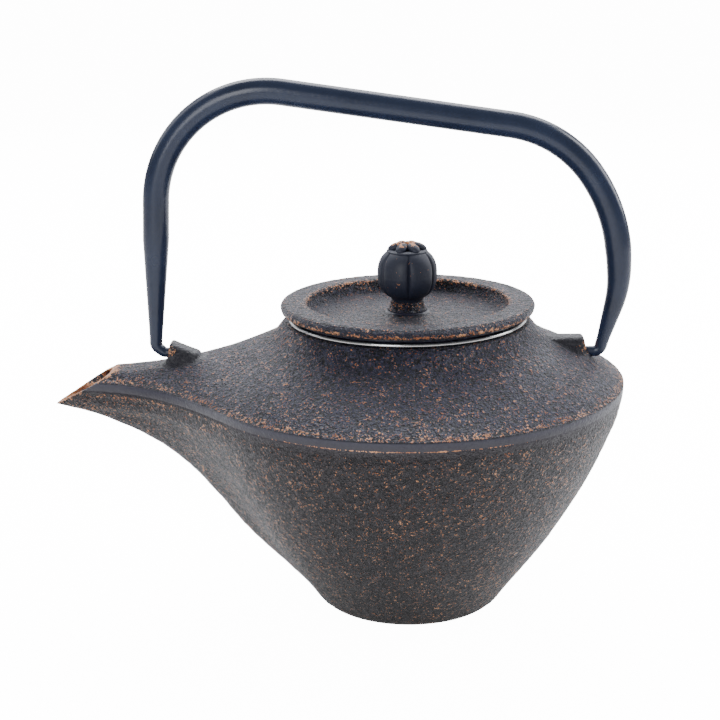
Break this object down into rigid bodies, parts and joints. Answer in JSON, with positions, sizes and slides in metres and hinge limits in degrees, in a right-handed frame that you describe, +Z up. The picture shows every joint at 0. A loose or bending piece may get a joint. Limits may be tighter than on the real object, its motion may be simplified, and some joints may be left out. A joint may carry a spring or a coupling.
{
  "type": "cast-iron teapot",
  "caption": "Cast-iron teapot with a pointed pouring beak, swinging tube handle on cast lugs, lift-off dished lid with a melon knob and a lift-out steel tea basket.",
  "frame": {"origin": "middle of the round foot, on the surface the pot stands on", "axes": "+Z up, -X along the pouring beak, +X towards the back, Y across; the handle pivots lie on a line along X"},
  "size_m": [0.2079, 0.1544, 0.19],
  "materials": {
    "pot_iron": "rough-cast iron, dark lacquer rubbed back to copper on the high points",
    "lid_iron": "rough-cast iron, dark lacquer with copper-rubbed edges",
    "knob_iron": "smooth cast iron, satin blue-black lacquer, copper-rubbed petal tips",
    "fixing_steel": "turned stainless steel",
    "basket_steel": "pressed stainless sheet, bright rolled edge",
    "basket_mesh": "fine woven stainless mesh",
    "handle_steel": "satin blue-black lacquered steel tube"
  },
  "bodies": {
    "pot": {"pot_body": "pot_iron"},
    "handle": {"handle": "handle_steel"},
    "basket": {"basket_collar": "basket_steel", "basket_wall": "basket_mesh", "basket_floor": "basket_steel"},
    "lid": {"lid": "lid_iron", "knob": "knob_iron", "knob_screw": "fixing_steel", "knob_washer": "fixing_steel"}
  },
  "joints": [
    {"name": "handle_swing", "type": "hinge", "parent": "pot", "child": "handle", "pos_m": [0, 0, 0.0921], "axis": [1, 0, 0], "range_deg": [-95, 95]},
    {"name": "basket_lift", "type": "slide", "parent": "pot", "child": "basket", "axis": [0, 0, 1], "range_m": [0, 0.038]},
    {"name": "lid_lift", "type": "slide", "parent": "basket", "child": "lid", "axis": [0, 0, 1], "range_m": [0, 0.038]}
  ]
}
